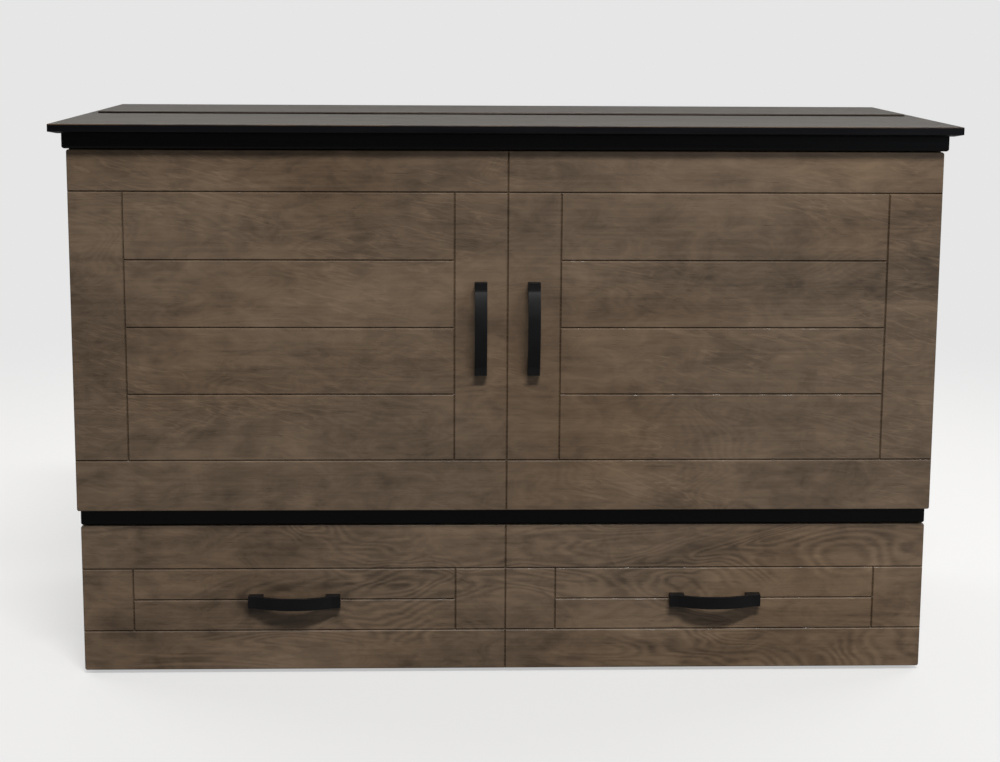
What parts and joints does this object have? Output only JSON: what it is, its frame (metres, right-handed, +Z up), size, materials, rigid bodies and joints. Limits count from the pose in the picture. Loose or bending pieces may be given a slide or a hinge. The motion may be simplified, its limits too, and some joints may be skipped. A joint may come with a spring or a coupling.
{
  "type": "cabinet bed",
  "caption": "Low wooden chest with a folding lid, a drop-down planked front, a wheeled drawer and a folded mattress inside that opens into a guest bed.",
  "frame": {"origin": "on the floor, under the middle of the lid", "axes": "+X across the front to the right as seen from in front, +Y from front to back, +Z up"},
  "size_m": [1.664, 0.64, 1.0678],
  "materials": {
    "stained_veneer": "satin",
    "black_lacquer": "satin",
    "carcass_board": "satin",
    "backing_board": "matte",
    "drawer_board": "satin",
    "solid_birch": "satin",
    "black_steel": "satin",
    "zinc_steel": "brushed",
    "bronze_hinge": "satin",
    "black_plastic": "matte",
    "wheel_plastic": "matte",
    "rubber_pad": "matte",
    "mattress_cover": "woven",
    "webbing": "woven"
  },
  "bodies": {
    "cabinet": {"side_panel_left": "stained_veneer", "side_panel_right": "stained_veneer", "back_panel": "backing_board", "top_back_stretcher": "carcass_board", "floor_back_stretcher": "carcass_board", "seam_stretcher": "carcass_board", "deck_board": "carcass_board", "front_rail": "black_lacquer", "deck_cleats": "solid_birch", "drawer_guides": "solid_birch", "floor_glides": "black_plastic", "lid_bumpers": "rubber_pad", "magnetic_catches": "black_plastic", "corner_brackets": "zinc_steel", "bracket_screws": "zinc_steel", "top_rear_leaf": "black_lacquer", "rear_side_moulding_left": "black_lacquer", "rear_side_moulding_right": "black_lacquer", "seam_hinge_rear_leaf": "bronze_hinge", "seam_hinge_pin": "bronze_hinge", "deck_hinge_deck_leaf": "zinc_steel", "deck_hinge_pin": "zinc_steel", "mattress_foot": "mattress_cover", "mattress_middle": "mattress_cover", "mattress_head": "mattress_cover", "mattress_upper_webbing": "webbing", "mattress_lower_webbing": "webbing"},
    "lid_leaf": {"top_front_leaf": "black_lacquer", "front_moulding": "black_lacquer", "front_side_moulding_left": "black_lacquer", "front_side_moulding_right": "black_lacquer", "seam_hinge_front_leaf": "bronze_hinge"},
    "front_panel": {"front_panel_board": "stained_veneer", "door_handle_left": "black_steel", "door_handle_right": "black_steel", "door_handle_bolts": "zinc_steel", "strike_plates": "zinc_steel", "foot_panel": "carcass_board", "foot_panel_battens": "solid_birch", "deck_hinge_door_leaf": "zinc_steel", "fold_hinge_door_leaf": "zinc_steel", "fold_hinge_foot_leaf": "zinc_steel", "fold_hinge_pin": "zinc_steel"},
    "drawer": {"drawer_front": "stained_veneer", "drawer_handle_left": "black_steel", "drawer_handle_right": "black_steel", "drawer_handle_bolts": "zinc_steel", "drawer_side_left": "drawer_board", "drawer_side_right": "drawer_board", "drawer_back": "drawer_board", "drawer_bottom": "drawer_board", "drawer_divider": "drawer_board", "drawer_corner_blocks": "solid_birch", "caster_forks": "zinc_steel", "caster_axles": "zinc_steel"},
    "drawer_wheel_front_left": {"drawer_wheel_front_left": "wheel_plastic"},
    "drawer_wheel_front_right": {"drawer_wheel_front_right": "wheel_plastic"},
    "drawer_wheel_back_left": {"drawer_wheel_back_left": "wheel_plastic"},
    "drawer_wheel_back_right": {"drawer_wheel_back_right": "wheel_plastic"}
  },
  "joints": [
    {"name": "lid_fold", "type": "hinge", "parent": "cabinet", "child": "lid_leaf", "pos_m": [0, 0, 1.0655], "axis": [-1, 0, 0], "range_deg": [0, 180]},
    {"name": "front_panel_fold", "type": "hinge", "parent": "cabinet", "child": "front_panel", "pos_m": [0, -0.2608, 0.3342], "axis": [1, 0, 0], "range_deg": [0, 90]},
    {"name": "drawer_roll", "type": "slide", "parent": "cabinet", "child": "drawer", "axis": [0, -1, 0], "range_m": [0, 1.2]},
    {"name": "drawer_wheel_front_left_spin", "type": "hinge", "parent": "drawer", "child": "drawer_wheel_front_left", "pos_m": [-0.7, -0.2, 0.025], "axis": [1, 0, 0], "range_deg": [0, 2751]},
    {"name": "drawer_wheel_front_right_spin", "type": "hinge", "parent": "drawer", "child": "drawer_wheel_front_right", "pos_m": [0.7, -0.2, 0.025], "axis": [1, 0, 0], "range_deg": [0, 2751]},
    {"name": "drawer_wheel_back_left_spin", "type": "hinge", "parent": "drawer", "child": "drawer_wheel_back_left", "pos_m": [-0.7, 0.214, 0.025], "axis": [1, 0, 0], "range_deg": [0, 2751]},
    {"name": "drawer_wheel_back_right_spin", "type": "hinge", "parent": "drawer", "child": "drawer_wheel_back_right", "pos_m": [0.7, 0.214, 0.025], "axis": [1, 0, 0], "range_deg": [0, 2751]}
  ],
  "couplings": [
    {"joint": "drawer_wheel_front_left_spin", "follows": "drawer_roll", "rad_per_m": 40},
    {"joint": "drawer_wheel_front_right_spin", "follows": "drawer_roll", "rad_per_m": 40},
    {"joint": "drawer_wheel_back_left_spin", "follows": "drawer_roll", "rad_per_m": 40},
    {"joint": "drawer_wheel_back_right_spin", "follows": "drawer_roll", "rad_per_m": 40}
  ]
}
